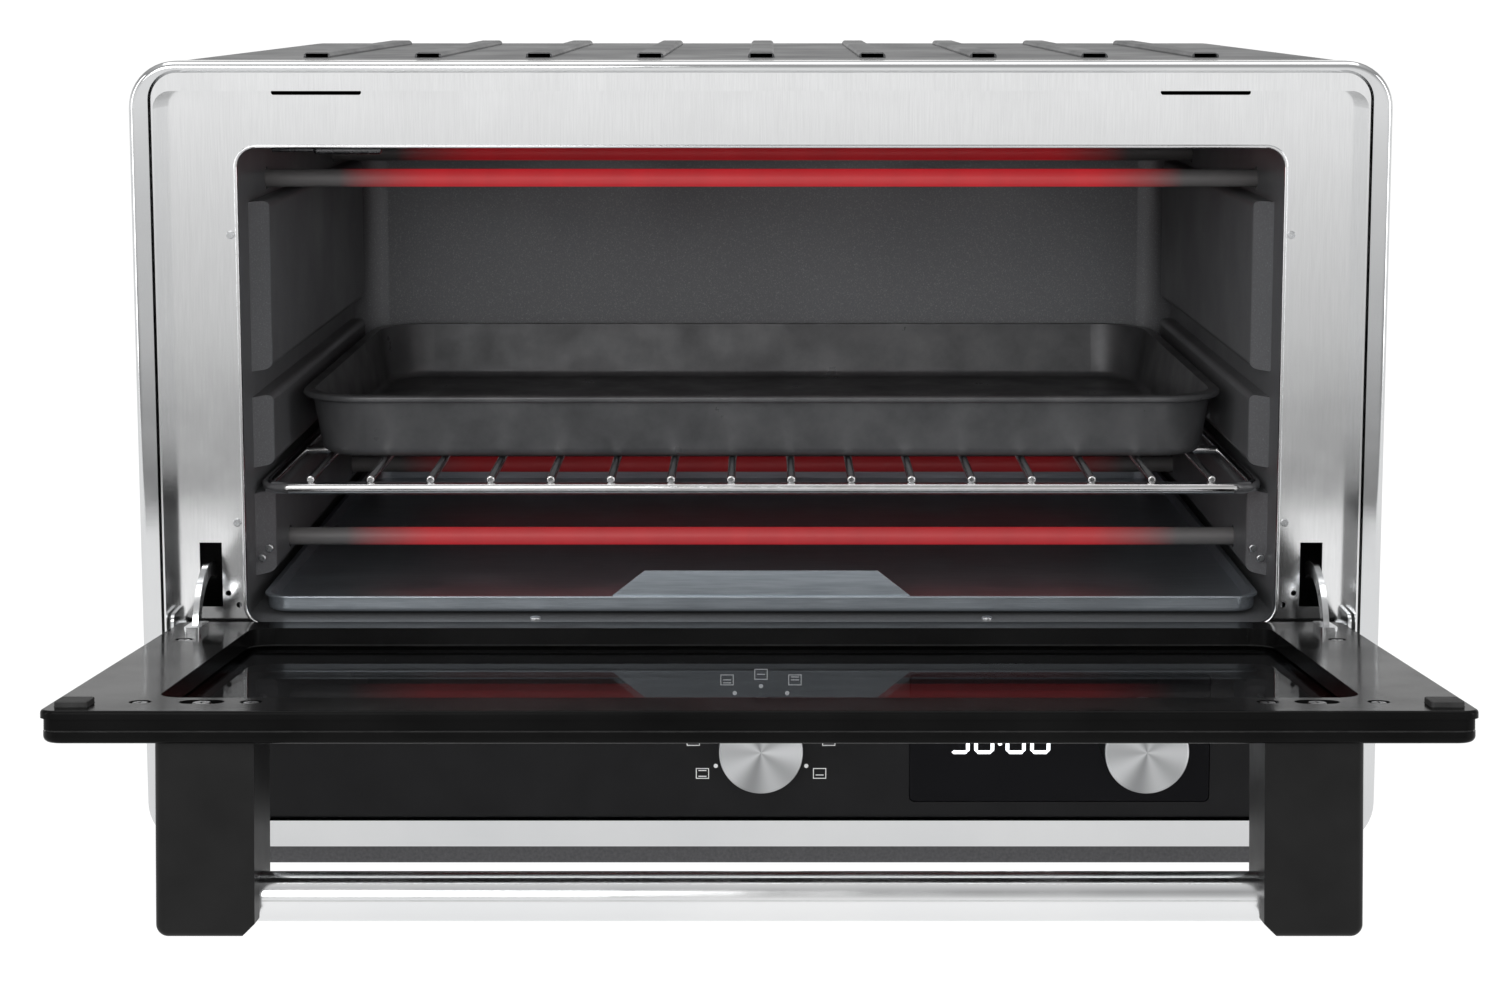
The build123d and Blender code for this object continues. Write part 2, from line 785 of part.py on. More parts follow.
def make_fascia():
    shell = panel(fascia_half, fascia_bottom, height, fascia_corner, fascia_front, face_back)
    shell -= block(-width, width, -1, depth, fascia_top, height + 1)
    shell = fillet(shell.faces().sort_by(Axis.Y)[0].edges(), 0.8)
    inside = panel(
        fascia_half - 2.0,
        fascia_bottom + 2.0,
        height,
        fascia_corner - 2.0,
        fascia_front + fascia_wall,
        face_back + 1,
    )
    shell -= inside - block(-width, width, -1, depth, fascia_top - 2.0, height + 1)
    shell -= lens_cut(0, fascia_front - 1, fascia_front + lens_thickness - 0.2)
    shell -= lens_cut(-lens_ledge - lens_fit, fascia_front, fascia_front + fascia_wall + 1)
    return shell - rod_y(mode_dial_x, dial_z, shaft_radius + 1.0, 0, 10)


def lens_cut(grow, y_low, y_high):
    half = lens_width / 2 + lens_fit + grow
    tall = lens_height / 2 + lens_fit + grow
    return Pos(lens_x, 0, 0) * panel(half, lens_z - tall, lens_z + tall, 2.0, y_low, y_high)


def make_display_lens():
    low = fascia_front - 0.2
    half = lens_width / 2
    tall = lens_height / 2
    lens = Pos(lens_x, 0, 0) * panel(half, lens_z - tall, lens_z + tall, 2.0, low, low + lens_thickness)
    lens = chamfer(lens.faces().sort_by(Axis.Y)[0].edges(), 0.3)
    return lens - rod_y(time_dial_x, dial_z, shaft_radius + 1.0, 0, 10)


def make_dial(x):
    """A hollow turned knob with a boss that grips its shaft."""
    back = fascia_front - 0.2 - dial_back_gap
    knob = rod_y(x, dial_z, dial_radius, dial_front, back)
    knob = fillet(knob.faces().sort_by(Axis.Y)[0].edges(), 1.0)
    knob -= rod_y(x, dial_z, dial_radius - 1.6, dial_front + 2.5, back + 1)
    knob += rod_y(x, dial_z, shaft_radius + 2.5, dial_front + 2.0, back)
    grip = rod_y(x, dial_z, shaft_radius, back - shaft_grip, back + 1)
    return knob - grip


def make_shaft(x, length):
    back = fascia_front - 0.2 - dial_back_gap
    return rod_y(x, dial_z, shaft_radius, back - shaft_grip, back + length)


def make_rotary(x, body_front, body_depth, half):
    """A rotary control body: a square can with a round bush that the shaft turns in."""
    bush_front = fascia_front + fascia_wall
    can = block(x - half, x + half, body_front, body_front + body_depth, dial_z - half, dial_z + half)
    can = fillet(can.edges().filter_by(Axis.Y), 1.5)
    can += rod_y(x, dial_z, shaft_radius + 1.8, bush_front, body_front + 0.5)
    return can - rod_y(x, dial_z, shaft_radius + shaft_clearance, 0, body_front + body_depth - 2.0)


def make_display_board():
    half = lens_width / 2 - 2.5
    tall = lens_height / 2 - 2.5
    low = lens_z - tall
    back = board_front + board_thickness
    board = block(lens_x - half, lens_x + half, board_front, back, low, lens_z + tall)
    return board - rod_y(time_dial_x, dial_z, shaft_radius + 2.2, 0, 20)


def make_led_module():
    front = fascia_front - 0.2 + lens_thickness + 0.4
    return block(lens_x - 42.0, lens_x + 4.0, front, board_front, dial_z - 9.0, dial_z + 9.0)


def make_power_board():
    """The mains board on four standoffs, with its transformer, relays and capacitors."""
    x_low = -150.0
    y_low = 60.0
    top = case_bottom + 10.0
    board = block(x_low, x_low + 130, y_low, y_low + 90, top, top + 1.6)
    for x in (x_low + 6, x_low + 124):
        for y in (y_low + 6, y_low + 84):
            board += rod_z_up(x, y, 3.0, case_bottom, top + 0.5)
    surface = top + 1.2
    board += block(x_low + 12, x_low + 48, y_low + 18, y_low + 50, surface, surface + 28)
    for index in range(3):
        left = x_low + 60 + index * 20
        board += block(left, left + 15, y_low + 14, y_low + 34, surface, surface + 16)
    for index in range(2):
        board += rod_z_up(x_low + 68 + index * 22, y_low + 62, 7.0, surface, surface + 22)
    return board


def make_nodes():
    left_wall = make_liner_side()
    bracket = make_handle_bracket()
    stay = make_door_stay()
    ear = make_hinge_bracket()
    shaft_length = 14.0
    board_back = board_front + board_thickness
    return {
        "bezel": make_bezel(),
        "face_plate": make_face_plate(),
        "outer_case": make_outer_case(),
        "base_plate": make_base_plate(),
        "back_panel": make_back_panel(),
        "feet": make_feet(),
        "case_screws": make_case_screws(),
        "cord_gland": make_cord_gland(),
        "liner_left": left_wall,
        "liner_right": mirror(left_wall, about=Plane.YZ),
        "liner_back": make_liner_back(),
        "liner_roof": make_liner_flat(liner_top, liner_top + sheet),
        "liner_floor": make_liner_flat(cavity_bottom - sheet, cavity_bottom),
        "element_upper_front": make_element(element_depths[0], upper_element_z),
        "element_upper_rear": make_element(element_depths[1], upper_element_z),
        "element_lower_front": make_element(element_depths[0], lower_element_z),
        "element_lower_rear": make_element(element_depths[1], lower_element_z),
        "element_ceramics": make_element_ceramics(),
        "sensor_probe": make_sensor_probe(),
        "cavity_rivets": make_cavity_rivets(),
        "face_screws": make_face_screws(),
        "rack": make_rack(),
        "baking_pan": make_pan(),
        "crumb_tray": make_crumb_tray(),
        "hinge_bracket_right": ear,
        "hinge_bracket_left": mirror(ear, about=Plane.YZ),
        "door_inner_frame": opened(make_door_inner()),
        "door_outer_frame": opened(make_door_outer()),
        "door_spacer": opened(make_door_spacer()),
        "door_glass": opened(make_door_glass()),
        "door_screws": opened(make_door_screws()),
        "door_bumpers": opened(make_door_bumpers()),
        "door_stay_right": opened(stay),
        "door_stay_left": opened(mirror(stay, about=Plane.YZ)),
        "handle_bracket_right": opened(bracket),
        "handle_bracket_left": opened(mirror(bracket, about=Plane.YZ)),
        "handle_bar": opened(make_handle_bar()),
        "fascia": make_fascia(),
        "display_lens": make_display_lens(),
        "display_board": make_display_board(),
        "led_module": make_led_module(),
        "mode_dial": make_dial(mode_dial_x),
        "mode_shaft": make_shaft(mode_dial_x, shaft_length),
        "mode_switch": make_rotary(mode_dial_x, fascia_front + fascia_wall + 2.0, 16.0, 12.0),
        "time_dial": make_dial(time_dial_x),
        "time_shaft": make_shaft(time_dial_x, shaft_length),
        "time_encoder": make_rotary(time_dial_x, board_back, 9.0, 7.0),
        "power_board": make_power_board(),
    }


def main():
    os.makedirs("parts", exist_ok=True)
    nodes = make_nodes()
    boxes = [part.bounding_box() for part in nodes.values()]
    front = min(box.min.Y for box in boxes)
    back = max(box.max.Y for box in boxes)
    shift = Pos(0, -(front + back) / 2, 0)
    for name, part in nodes.items():
        export_step(shift * part, f"parts/{name}.step")
    print("y shift", round(-(front + back) / 2, 4))
    print("hinge y, z", round(hinge_y, 4), round(hinge_z, 4))
    print("tray bottom", round(tray_bottom, 4), "pan length", round(pan_length, 4))


main()
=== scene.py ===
import bpy
import math
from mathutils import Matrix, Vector


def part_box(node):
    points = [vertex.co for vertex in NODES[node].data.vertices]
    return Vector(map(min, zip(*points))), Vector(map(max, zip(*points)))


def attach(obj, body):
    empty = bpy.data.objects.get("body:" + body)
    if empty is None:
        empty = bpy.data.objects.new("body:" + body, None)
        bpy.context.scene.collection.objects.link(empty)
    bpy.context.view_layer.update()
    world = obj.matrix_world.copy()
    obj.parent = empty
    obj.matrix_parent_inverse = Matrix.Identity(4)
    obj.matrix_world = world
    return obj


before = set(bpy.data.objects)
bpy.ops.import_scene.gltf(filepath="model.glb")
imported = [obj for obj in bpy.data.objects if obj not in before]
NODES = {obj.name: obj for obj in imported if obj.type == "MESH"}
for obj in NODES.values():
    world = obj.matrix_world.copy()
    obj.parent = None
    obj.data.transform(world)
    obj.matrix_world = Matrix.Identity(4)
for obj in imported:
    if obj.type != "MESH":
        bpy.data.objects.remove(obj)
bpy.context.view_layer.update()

MM = 0.001

# The camera: how far in front of the bezel and how high it stands, its pitch in degrees, and its lens
CAMERA_DISTANCE = 0.9395
CAMERA_HEIGHT = 0.3087
CAMERA_PITCH = 7.0
CAMERA_LENS = 66.6
CAMERA_SENSOR = 36.0
CAMERA_X = 0.0025
CAMERA_SHIFT = (-0.0145, -0.1150)

# The table's front edge, in front of the oven, and how bright the table and floor are to reflections.
# Past the edge the floor brightens over the near reach, and more slowly up to the far reach.
FLOOR_SIZE = 30.0
TABLE_EDGE = 0.65
TABLE_FADE = 0.02
TABLE_LIGHT = 0.80
NEAR_FLOOR_LIGHT = 0.06
NEAR_FLOOR_RISE = 0.50
NEAR_FLOOR_REACH = 1.3
FAR_FLOOR_RISE = 0.34
FAR_FLOOR_REACH = 6.0

# How bright the floor and the air are to the camera
FLOOR_SEEN = 0.97
AIR_SEEN = 1.05

# The room that metal reflects, from straight down (0) to straight up (1): place and brightness
ROOM_STOPS = ((0.0, 0.30), (0.48, 0.86), (0.54, 0.86), (0.66, 0.50), (0.80, 0.34), (1.0, 0.70))

# How strongly each element glows
ELEMENT_GLOW = {"upper_front": 0.38, "upper_rear": 0.17, "lower_front": 0.30, "lower_rear": 0.07}

# Printed marks stand a little proud of their face, and the rest of their thickness is sunk in it
PRINT_THICKNESS = 0.08 * MM
PRINT_PROUD = 0.4 * PRINT_THICKNESS

# The mode dial's marks: their angles in degrees from straight up, a dot each, and a picture further out
MARK_FIRST = -120
MARK_STEP = 30
DOT_CIRCLE = 18.3 * MM
DOT_RADIUS = 0.75 * MM
PICTURE_GAP_SIDE = 5.4 * MM
PICTURE_GAP_TOP = 4.2 * MM
PICTURE_HALF_WIDE = 2.3 * MM
PICTURE_HALF_TALL = 1.9 * MM
PICTURE_LINE = 0.28 * MM

# The heat lines in each picture: their heights, as shares of half the picture's height
HEAT_ROWS = (
    (0.55, -0.55), (0.55,), (-0.55,),
    (0.0, -0.55), (0.0,), (0.0, 0.55),
    (-0.55, 0.0), (0.3, -0.3), (-0.3,),
)
HEAT_HALF_WIDE = 1.4 * MM
HEAT_HALF_LINE = 0.16 * MM

# The mode dial's pointer, measured in from the dial's top
POINTER_HALF_WIDE = 0.6 * MM
POINTER_OUTER = 1.6 * MM
POINTER_INNER = 7.5 * MM

# The timer's digits
DIGITS_FROM_LENS_EDGE = 14.0 * MM
DIGITS_ABOVE_DIAL_BOTTOM = 9.8 * MM
DIGIT_WIDE = 7.0 * MM
DIGIT_TALL = 12.5 * MM
DIGIT_LINE = 1.25 * MM
DIGIT_PITCH = 8.6 * MM
SEGMENT_GAP = 0.12 * MM
COLON_RADIUS = 0.75 * MM
COLON_INSET = 0.4 * MM
COLON_PITCH = 2.4 * MM
COLON_HEIGHTS = (0.3, 0.7)
DIGIT_SEGMENTS = {"3": "abcdg", "0": "abcdef"}


# ---------------------------------------------------------------- node helpers

class Shader:
    """A material with one Principled shader, and short calls for the nodes that feed it."""

    def __init__(self, name, color=(0.5, 0.5, 0.5), metallic=0.0, roughness=0.4, **sockets):
        self.material = bpy.data.materials.new(name)
        self.material.use_nodes = True
        self.tree = self.material.node_tree
        self.bsdf = self.tree.nodes["Principled BSDF"]
        self.set("Base Color", (*color, 1.0))
        self.set("Metallic", metallic)
        self.set("Roughness", roughness)
        for socket, value in sockets.items():
            self.set(socket.replace("_", " "), value)

    def set(self, socket, value):
        self.bsdf.inputs[socket].default_value = value

    def node(self, kind, **settings):
        made = self.tree.nodes.new(kind)
        for key, value in settings.items():
            setattr(made, key, value)
        return made

    def link(self, source, target):
        self.tree.links.new(source, target)

    def coords(self, stretch=(1.0, 1.0, 1.0)):
        """Places on the object in metres, stretched so that detail runs along an axis."""
        place = self.node("ShaderNodeTexCoord")
        mapping = self.node("ShaderNodeMapping")
        mapping.inputs["Scale"].default_value = stretch
        self.link(place.outputs["Object"], mapping.inputs["Vector"])
        return mapping.outputs["Vector"]

    def noise(self, scale, detail=3.0, roughness=0.55, stretch=(1.0, 1.0, 1.0)):
        made = self.node("ShaderNodeTexNoise")
        made.inputs["Scale"].default_value = scale
        made.inputs["Detail"].default_value = detail
        made.inputs["Roughness"].default_value = roughness
        self.link(self.coords(stretch), made.inputs["Vector"])
        return made.outputs["Fac"]

    def remap(self, value, low, high, from_low=0.3, from_high=0.7):
        made = self.node("ShaderNodeMapRange")
        made.inputs["From Min"].default_value = from_low
        made.inputs["From Max"].default_value = from_high
        made.inputs["To Min"].default_value = low
        made.inputs["To Max"].default_value = high
        self.link(value, made.inputs["Value"])
        return made.outputs["Result"]

    def mix(self, factor, first, second):
        made = self.node("ShaderNodeMix", data_type="RGBA")
        made.inputs["A"].default_value = (*first, 1.0)
        made.inputs["B"].default_value = (*second, 1.0)
        self.link(factor, made.inputs["Factor"])
        return made.outputs["Result"]

    def vary_color(self, factor, first, second):
        self.link(self.mix(factor, first, second), self.bsdf.inputs["Base Color"])

    def vary_roughness(self, factor, low, high):
        self.link(self.remap(factor, low, high), self.bsdf.inputs["Roughness"])

    def bump(self, height, distance, strength):
        made = self.node("ShaderNodeBump")
        made.inputs["Distance"].default_value = distance
        made.inputs["Strength"].default_value = strength
        self.link(height, made.inputs["Height"])
        self.link(made.outputs["Normal"], self.bsdf.inputs["Normal"])

    def axis(self, name):
        split = self.node("ShaderNodeSeparateXYZ")
        self.link(self.coords(), split.inputs["Vector"])
        return split.outputs[name]

    def math(self, operation, first, second=None):
        made = self.node("ShaderNodeMath", operation=operation)
        for slot, value in enumerate((first, second)):
            if value is None:
                continue
            if isinstance(value, (int, float)):
                made.inputs[slot].default_value = value
            else:
                self.link(value, made.inputs[slot])
        return made.outputs["Value"]


# ---------------------------------------------------------------- materials

def polished_steel(name, level, smoothest):
    """Polished steel with faint wipe marks, for the bezel and the handle's bar."""
    s = Shader(name, (level, level, level), 1.0, smoothest)
    s.vary_roughness(s.noise(60, 4), smoothest, smoothest + 0.08)
    darker = (level - 0.03, level - 0.02, level - 0.01)
    lighter = (level + 0.03, level + 0.035, level + 0.04)
    s.vary_color(s.remap(s.noise(14, 3), 0, 1), darker, lighter)
    s.bump(s.noise(900, 2, stretch=(0.1, 1, 1)), 0.000004, 0.25)
    return s.material


def face_steel():
    """Bright stainless sheet with a fine upright grain."""
    s = Shader("face_steel", (0.80, 0.805, 0.81), 1.0, 0.13)
    grain = s.noise(2600, 2, stretch=(1, 1, 0.03))
    s.vary_roughness(s.noise(45, 4), 0.10, 0.16)
    s.vary_color(s.remap(grain, 0, 1), (0.83, 0.835, 0.84), (0.88, 0.885, 0.89))
    s.bump(grain, 0.000006, 0.35)
    return s.material


def charcoal_paint():
    """Satin charcoal paint with a fine orange peel, for the case."""
    s = Shader("charcoal_paint", (0.10, 0.10, 0.105), 0.55, 0.36)
    s.vary_color(s.remap(s.noise(1400, 2), 0, 1), (0.055, 0.056, 0.059), (0.085, 0.086, 0.089))
    s.vary_roughness(s.noise(30, 4), 0.30, 0.42)
    s.bump(s.noise(1100, 2), 0.00002, 0.35)
    return s.material


def chassis_paint():
    s = Shader("chassis_paint", (0.06, 0.06, 0.063), 0.4, 0.45)
    s.vary_color(s.remap(s.noise(900, 3), 0, 1), (0.05, 0.05, 0.053), (0.08, 0.08, 0.084))
    s.vary_roughness(s.noise(25, 4), 0.38, 0.52)
    s.bump(s.noise(900, 2), 0.00002, 0.4)
    return s.material


def cavity_enamel():
    """Dark grey cavity coating with a pale speckle and heat-dulled patches."""
    s = Shader("cavity_enamel", (0.15, 0.152, 0.158), 0.25, 0.38)
    speckle = s.remap(s.noise(2200, 2), 0, 1, 0.56, 0.72)
    s.vary_color(speckle, (0.125, 0.128, 0.134), (0.23, 0.235, 0.245))
    s.vary_roughness(s.noise(18, 5), 0.28, 0.46)
    s.bump(s.noise(1500, 2), 0.00001, 0.4)
    return s.material


def small_steel():
    """Plain bright steel for the small fasteners and shafts."""
    s = Shader("small_steel", (0.62, 0.63, 0.64), 1.0, 0.28)
    s.vary_roughness(s.noise(300, 3), 0.22, 0.36)
    s.vary_color(s.remap(s.noise(500, 3), 0, 1), (0.56, 0.57, 0.58), (0.70, 0.71, 0.72))
    s.bump(s.noise(3000, 2), 0.000005, 0.3)
    return s.material


def blackened_steel():
    s = Shader("blackened_steel", (0.16, 0.16, 0.165), 1.0, 0.26)
    s.vary_roughness(s.noise(300, 3), 0.20, 0.34)
    s.vary_color(s.remap(s.noise(500, 3), 0, 1), (0.13, 0.13, 0.135), (0.20, 0.20, 0.205))
    s.bump(s.noise(2600, 2), 0.000005, 0.3)
    return s.material


def hinge_chrome():
    s = Shader("hinge_chrome", (0.74, 0.75, 0.76), 1.0, 0.16)
    s.vary_roughness(s.noise(400, 3), 0.11, 0.24)
    s.vary_color(s.remap(s.noise(260, 3), 0, 1), (0.68, 0.69, 0.70), (0.79, 0.80, 0.81))
    s.bump(s.noise(1800, 2), 0.000006, 0.3)
    return s.material


def rack_chrome():
    s = Shader("rack_chrome", (0.80, 0.80, 0.81), 1.0, 0.12)
    s.vary_roughness(s.noise(220, 4), 0.08, 0.20)
    s.vary_color(s.remap(s.noise(90, 4), 0, 1), (0.72, 0.71, 0.70), (0.84, 0.84, 0.85))
    s.bump(s.noise(1500, 2), 0.000005, 0.3)
    return s.material


def element_glow(name, half_length, strength):
    """A steel sheath that glows red between its cold ends."""
    s = Shader(name, (0.30, 0.22, 0.22), 0.2, 0.45, Specular_IOR_Level=0.3)
    along = s.math("ABSOLUTE", s.axis("X"))
    heat = s.remap(along, 1.0, 0.0, half_length * 0.60, half_length * 0.76)
    mottled = s.remap(s.noise(70, 3, stretch=(1, 0.3, 0.3)), 0.86, 1.06)
    s.link(s.mix(heat, (0.13, 0.125, 0.125), (0.16, 0.06, 0.06)), s.bsdf.inputs["Base Color"])
    s.set("Emission Color", (1.0, 0.015, 0.03, 1.0))
    glow = s.math("MULTIPLY", s.math("MULTIPLY", heat, mottled), strength)
    s.link(glow, s.bsdf.inputs["Emission Strength"])
    s.bump(s.noise(900, 2), 0.00001, 0.4)
    return s.material


def ceramic():
    s = Shader("steatite", (0.78, 0.75, 0.68), 0.0, 0.62)
    s.vary_color(s.remap(s.noise(120, 4), 0, 1), (0.70, 0.67, 0.60), (0.82, 0.80, 0.74))
    s.bump(s.noise(1200, 3), 0.00003, 0.4)
    return s.material


def pan_coating():
    """Dark non-stick coating: satin, mottled and finely pebbled."""
    s = Shader("pan_coating", (0.05, 0.05, 0.053), 0.45, 0.36)
    mottled = s.remap(s.noise(38, 6, 0.65), 0, 1)
    s.vary_color(mottled, (0.062, 0.063, 0.066), (0.115, 0.116, 0.120))
    s.vary_roughness(s.noise(55, 5), 0.27, 0.46)
    s.bump(s.noise(1300, 2), 0.00003, 0.45)
    return s.material


def tray_steel():
    """Aluminised steel with a cool cast and a soft grain from left to right."""
    s = Shader("tray_steel", (0.42, 0.46, 0.50), 0.9, 0.34)
    grain = s.noise(1600, 3, stretch=(0.04, 1, 1))
    s.vary_color(s.remap(grain, 0, 1), (0.36, 0.40, 0.44), (0.48, 0.52, 0.56))
    s.vary_roughness(s.noise(35, 4), 0.28, 0.42)
    s.bump(grain, 0.000008, 0.35)
    return s.material


def door_enamel():
    s = Shader("door_enamel", (0.004, 0.004, 0.004), 0.0, 0.2, Specular_IOR_Level=0.04)
    s.vary_color(s.remap(s.noise(20, 4), 0, 1), (0.003, 0.003, 0.003), (0.006, 0.006, 0.006))
    s.vary_roughness(s.noise(40, 4), 0.11, 0.22)
    s.bump(s.noise(700, 2), 0.000012, 0.25)
    return s.material


def black_rubber():
    s = Shader("black_rubber", (0.02, 0.02, 0.02), 0.0, 0.7)
    s.vary_color(s.remap(s.noise(200, 4), 0, 1), (0.014, 0.014, 0.014), (0.030, 0.030, 0.030))
    s.bump(s.noise(2200, 2), 0.00003, 0.5)
    return s.material


def tinted_glass():
    """Heat-proof glass with a smoky tint."""
    s = Shader("tinted_glass", (0.62, 0.63, 0.64), 0.0, 0.01, Transmission_Weight=1.0, IOR=1.03)
    s.vary_color(s.remap(s.noise(6, 2), 0, 1), (0.60, 0.61, 0.62), (0.64, 0.65, 0.66))
    return s.material


def moulded_black(name, color, rough, pebble, shine=0.5):
    """Moulded plastic with a fine spark-eroded texture."""
    s = Shader(name, color, 0.0, rough, Specular_IOR_Level=shine)
    lighter = tuple(1.5 * c for c in color)
    s.vary_color(s.remap(s.noise(60, 4), 0, 1), color, lighter)
    s.vary_roughness(s.noise(30, 4), rough - 0.05, rough + 0.07)
    s.bump(s.noise(2400, 2), pebble, 0.4)
    return s.material


def lens_black():
    s = Shader("lens_black", (0.004, 0.004, 0.005), 0.0, 0.05, Specular_IOR_Level=0.05)
    s.vary_roughness(s.noise(30, 3), 0.03, 0.07)
    s.vary_color(s.remap(s.noise(12, 2), 0, 1), (0.0035, 0.0035, 0.0045), (0.006, 0.006, 0.007))
    return s.material


def spun_metal(name, centre):
    """Turned aluminium: fine rings about the dial's axis, crossed by paler and darker cones of painted
    reflection in the base colour.
    """
    s = Shader(name, (0.74, 0.75, 0.76), 1.0, 0.30, Anisotropic=0.85)
    tangent = s.node("ShaderNodeTangent", direction_type="RADIAL", axis="Y")
    s.link(tangent.outputs["Tangent"], s.bsdf.inputs["Tangent"])
    dx = s.math("SUBTRACT", s.axis("X"), centre[0])
    dz = s.math("SUBTRACT", s.axis("Z"), centre[2])
    radius = s.math("SQRT", s.math("ADD", s.math("MULTIPLY", dx, dx), s.math("MULTIPLY", dz, dz)))
    rings = s.math("SINE", s.math("MULTIPLY", radius, 2 * math.pi / 0.00022))
    # Paler and darker cones by the angle round the dial's axis: a painted reflection in the base colour,
    # not the metal's own tone
    turn = s.math("ARCTAN2", dz, dx)
    two_painted_sheen_cones = s.math("COSINE", s.math("MULTIPLY", turn, 2))
    five_painted_sheen_cones = s.math("COSINE", s.math("MULTIPLY", turn, 5))
    painted_sheen_cones = s.math("ADD", two_painted_sheen_cones, five_painted_sheen_cones)
    # The base colour is the fine ring grain plus the painted reflection cones
    ring_grain_and_painted_sheen = s.math("ADD", s.math("MULTIPLY", painted_sheen_cones, 0.22), s.math("MULTIPLY", rings, 0.05))
    s.vary_color(s.remap(ring_grain_and_painted_sheen, 0, 1, -0.5, 0.5), (0.24, 0.245, 0.25), (0.70, 0.71, 0.72))
    s.bump(rings, 0.000004, 0.4)
    return s.material


def circuit_green():
    s = Shader("circuit_green", (0.02, 0.12, 0.05), 0.0, 0.35)
    s.vary_color(s.remap(s.noise(300, 2), 0, 1), (0.015, 0.09, 0.04), (0.03, 0.16, 0.07))
    s.bump(s.noise(700, 2), 0.00003, 0.3)
    return s.material


def printed_white():
    s = Shader("printed_white", (0.75, 0.75, 0.75), 0.0, 0.5)
    s.vary_color(s.remap(s.noise(1500, 2), 0, 1), (0.68, 0.68, 0.68), (0.80, 0.80, 0.80))
    return s.material


def lit_segments():
    """White light-emitting segments, a little uneven, as behind a diffuser."""
    s = Shader("lit_segments", (0.85, 0.87, 0.9), 0.0, 0.4, Emission_Color=(0.93, 0.96, 1.0, 1.0))
    s.link(s.remap(s.noise(400, 2), 1.4, 1.9), s.bsdf.inputs["Emission Strength"])
    return s.material


def dark_inlay():
    s = Shader("dark_inlay", (0.02, 0.02, 0.022), 0.0, 0.4)
    s.vary_color(s.remap(s.noise(800, 2), 0, 1), (0.015, 0.015, 0.016), (0.03, 0.03, 0.032))
    return s.material


# ---------------------------------------------------------------- mesh helpers

def prism_mesh(outlines, y_front, thickness):
    """Flat shapes in the XZ plane with a thickness back along Y, in one mesh."""
    points, faces = [], []
    for outline in outlines:
        first = len(points)
        count = len(outline)
        points += [(x, y_front, z) for x, z in outline]
        points += [(x, y_front + thickness, z) for x, z in outline]
        faces.append([first + i for i in range(count)])
        faces.append([first + 2 * count - 1 - i for i in range(count)])
        for i in range(count):
            j = (i + 1) % count
            faces.append([first + j, first + i, first + count + i, first + count + j])
    mesh = bpy.data.meshes.new("prisms")
    mesh.from_pydata(points, [], faces)
    mesh.update()
    return mesh


def add_piece(name, mesh, material, body):
    piece = bpy.data.objects.new(name, mesh)
    bpy.context.scene.collection.objects.link(piece)
    mesh.materials.append(material)
    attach(piece, body)
    return piece


def circle(x, z, radius, count=20):
    """Clockwise from the front, so that the face looks forward."""
    turn = -2 * math.pi / count
    return [(x + radius * math.cos(i * turn), z + radius * math.sin(i * turn)) for i in range(count)]


def bar(x_low, x_high, z_low, z_high):
    return [(x_low, z_low), (x_low, z_high), (x_high, z_high), (x_high, z_low)]


def frame_bars(x, z, half_wide, half_tall, line):
    """Four bars round a small rectangle."""
    left, right = x - half_wide, x + half_wide
    low, high = z - half_tall, z + half_tall
    return [
        bar(left, left + line, low, high),
        bar(right - line, right, low, high),
        bar(left + line, right - line, high - line, high),
        bar(left + line, right - line, low, low + line),
    ]


# ---------------------------------------------------------------- printed and lit marks

def dial_marks():
    """A dot at each place of the mode dial, with a small picture of an oven and its heat."""
    low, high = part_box("mode_dial")
    x, z = (low.x + high.x) / 2, (low.z + high.z) / 2
    shapes = []
    for index, rows in enumerate(HEAT_ROWS):
        angle = math.radians(MARK_FIRST + MARK_STEP * index)
        across, up = math.sin(angle), math.cos(angle)
        shapes.append(circle(x + DOT_CIRCLE * across, z + DOT_CIRCLE * up, DOT_RADIUS))
        away = DOT_CIRCLE + (PICTURE_GAP_SIDE if abs(across) > 0.4 else PICTURE_GAP_TOP)
        shapes += oven_picture(x + away * across, z + away * up, rows)
    mesh = prism_mesh(shapes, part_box("fascia")[0].y - PRINT_PROUD, PRINT_THICKNESS)
    return add_piece("dial_marks", mesh, WHITE_PRINT, "oven")


def oven_picture(x, z, rows):
    """A small rectangle with a line at each height where heat comes from."""
    shapes = frame_bars(x, z, PICTURE_HALF_WIDE, PICTURE_HALF_TALL, PICTURE_LINE)
    for row in rows:
        level = z + row * PICTURE_HALF_TALL
        shapes.append(
            bar(x - HEAT_HALF_WIDE, x + HEAT_HALF_WIDE, level - HEAT_HALF_LINE, level + HEAT_HALF_LINE)
        )
    return shapes


def seven_segment(x, z, lit):
    """One digit's lit segments, as bars with pointed ends; x and z are its lower left corner."""
    half = DIGIT_LINE / 2

    def across(level):
        a = x + half + SEGMENT_GAP
        b = x + DIGIT_WIDE - half - SEGMENT_GAP
        above = [(a, level), (a + half, level + half), (b - half, level + half)]
        return above + [(b, level), (b - half, level - half), (a + half, level - half)]

    def upright(side, low, high):
        a = low + SEGMENT_GAP
        b = high - SEGMENT_GAP
        left_side = [(side, a), (side - half, a + half), (side - half, b - half)]
        return left_side + [(side, b), (side + half, b - half), (side + half, a + half)]

    bottom, middle, top = z + half, z + DIGIT_TALL / 2, z + DIGIT_TALL - half
    left, right = x + half, x + DIGIT_WIDE - half
    segments = {
        "a": across(top), "g": across(middle), "d": across(bottom),
        "f": upright(left, middle, top), "b": upright(right, middle, top),
        "e": upright(left, bottom, middle), "c": upright(right, bottom, middle),
    }
    return [segments[key] for key in lit]


